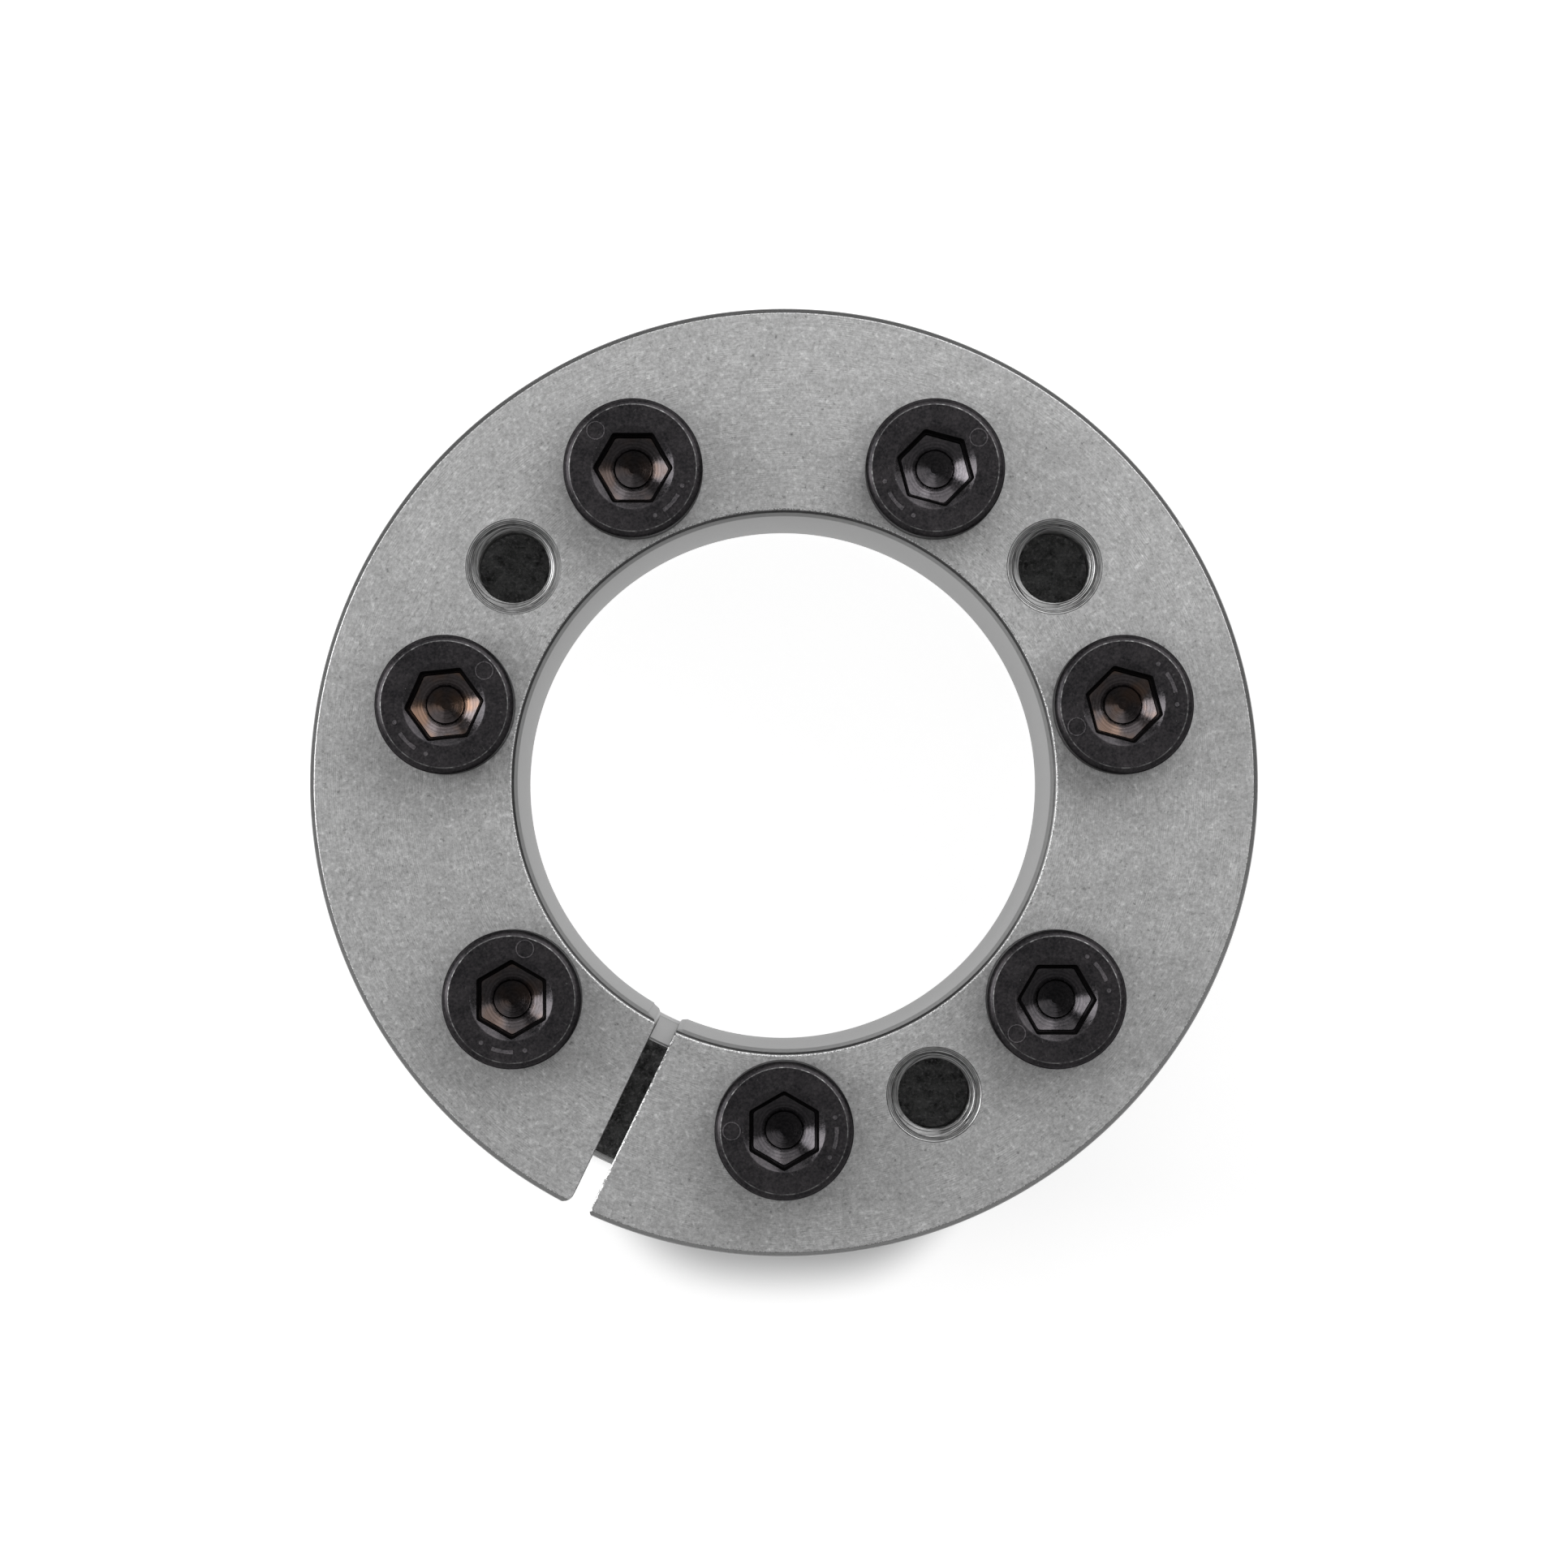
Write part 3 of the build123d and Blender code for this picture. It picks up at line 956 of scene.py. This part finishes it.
def floor_look():
    """Pale floor that shows white to the camera, and white through the bore and the slit."""
    look = Look("floor_white", Roughness=0.9, Specular_IOR_Level=0.0)
    look.paint(look.colour(look.spread(look.noise(0.02, detail=2.0), *NOISE_RANGE), grey(0.54), grey(0.56)))
    rays = look.node("LightPath").outputs
    r = look.radius()
    bore_glow = look.times(look.math("LESS_THAN", r, bore_r + 0.5), BORE_GLOW)
    turn = math.radians(slit_angle)
    along = look.add(look.times(look.y, math.sin(turn)), look.x, math.cos(turn))
    across = look.add(look.times(look.y, math.cos(turn)), look.x, -math.sin(turn))
    in_slit = look.times(look.spread(look.math("ABSOLUTE", across), 6.0, 0.8, soft=True),
                         look.spread(look.off(along, PATCH_MIDDLE), 7.0, 3.0, soft=True))
    # the shadow shows where the emission is low: round the ring, and darker and further out on its lower side
    lower = look.spread(look.math("DIVIDE", look.y, r), -0.89, -1.0, soft=True)
    off_ring = look.add(r, lower, -LOWER_REACH)
    darkest = look.add(SHADOW_GLOW, lower, -LOWER_SHADE)
    around = look.spread(off_ring, SHADOW_START, SHADOW_END, darkest, OPEN_GLOW, soft=True)
    around = look.math("ADD", around, look.spread(r, FAR_START, FAR_END, 0.0, 0.25))
    seen = look.math("MAXIMUM", around, look.times(in_slit, SLIT_GLOW))
    seen = look.math("MAXIMUM", seen, bore_glow)
    mirrored = look.math("MAXIMUM", bore_glow, MIRRORED_GLOW)
    shiny = look.math("MAXIMUM", rays["Is Glossy Ray"], rays["Is Transmission Ray"])
    strength = look.add(look.times(shiny, mirrored), rays["Is Camera Ray"], seen)
    look.tree.links.new(strength, look.shader.inputs["Emission Strength"])
    look.shader.inputs["Emission Color"].default_value = (1, 1, 1, 1)
    return look.material


def sheet(name, half, height, material):
    """A level square stage piece."""
    corners = [(-half, -half, 0), (half, -half, 0), (half, half, 0), (-half, half, 0)]
    obj = mesh_object(name, corners, [(0, 1, 2, 3)])
    obj.data.materials.append(material)
    obj.matrix_world = Matrix.Translation((0, 0, height))


sheet("floor", FLOOR_HALF, -FLOOR_DROP, floor_look())

# ---- Light and camera, in metres
ROOM_LEVEL = 0.33
DARK_LEVEL = 0.12
DARK_AZIMUTH = 90
LAMP_AIM = (0.0, 0.0, 0.05)
# Each lamp's place, width, height and radiance
LAMPS = {
    "right": ((0.26, 0.26, 0.42), 0.46, 0.46, 1.85),
    "top": ((-0.02, 0.42, 0.45), 0.5, 0.35, 1.0),
    "left": ((-0.40, 0.07, 0.345), 0.26, 0.27, 6.2),
}
CAMERA_PLACE = (-0.0023, -0.0052, 1.042)
CAMERA_AIM = (0.0, -0.00014, 0.056)
CAMERA_LENS = 241.3  # millimetres, as is the sensor's width
CAMERA_SENSOR = 36


def studio_world():
    """Even grey room with a dark band low down on one side, and white to the camera alone."""
    world = bpy.data.worlds.new("studio")
    scene.world = world
    world.use_nodes = True
    tree = world.node_tree
    place = add_node(tree, "TexCoord").outputs["Generated"]
    turn = math.radians(DARK_AZIMUTH)
    side = add_node(tree, "VectorMath", (place, (math.cos(turn), math.sin(turn), 0)), operation="DOT_PRODUCT")
    split = add_node(tree, "SeparateXYZ", (place,))
    on_side = add_node(tree, "MapRange", (side.outputs["Value"], -0.3, 0.0)).outputs[0]
    low_down = add_node(tree, "MapRange", (split.outputs["Z"], 0.62, 0.45)).outputs[0]
    both = add_node(tree, "Math", (on_side, low_down), operation="MULTIPLY").outputs[0]
    room = add_node(tree, "MapRange", {"Value": both, "To Min": ROOM_LEVEL, "To Max": DARK_LEVEL}).outputs[0]
    rays = add_node(tree, "LightPath").outputs
    seen = add_node(tree, "Math", (rays["Is Camera Ray"], room), operation="MAXIMUM").outputs[0]
    background = tree.nodes["Background"]
    background.inputs["Color"].default_value = (1, 1, 1, 1)
    tree.links.new(seen, background.inputs["Strength"])


def aimed(centre, aim, up):
    """Where something stands that looks along its own -Z at a point, with its Y towards up."""
    back = (Vector(centre) - Vector(aim)).normalized()
    side = Vector(up).cross(back).normalized()
    turn = Matrix((side, back.cross(side), back)).transposed()
    return Matrix.Translation(centre) @ turn.to_4x4()


def softbox(name, centre, width, height, radiance):
    """A rectangular lamp of an even radiance, aimed at the part."""
    data = bpy.data.lights.new(name, "AREA")
    data.shape = "RECTANGLE"
    data.size = width
    data.size_y = height
    data.energy = radiance * math.pi * width * height
    lamp = bpy.data.objects.new(name, data)
    scene.collection.objects.link(lamp)
    lamp.matrix_world = aimed(centre, LAMP_AIM, (0, 0, 1))


studio_world()
for name, settings in LAMPS.items():
    softbox(name, *settings)
camera_data = bpy.data.cameras.new("camera")
camera_data.lens = CAMERA_LENS
camera_data.sensor_width = CAMERA_SENSOR
camera = bpy.data.objects.new("camera", camera_data)
scene.collection.objects.link(camera)
camera.matrix_world = aimed(CAMERA_PLACE, CAMERA_AIM, (0, 1, 0))
scene.camera = camera
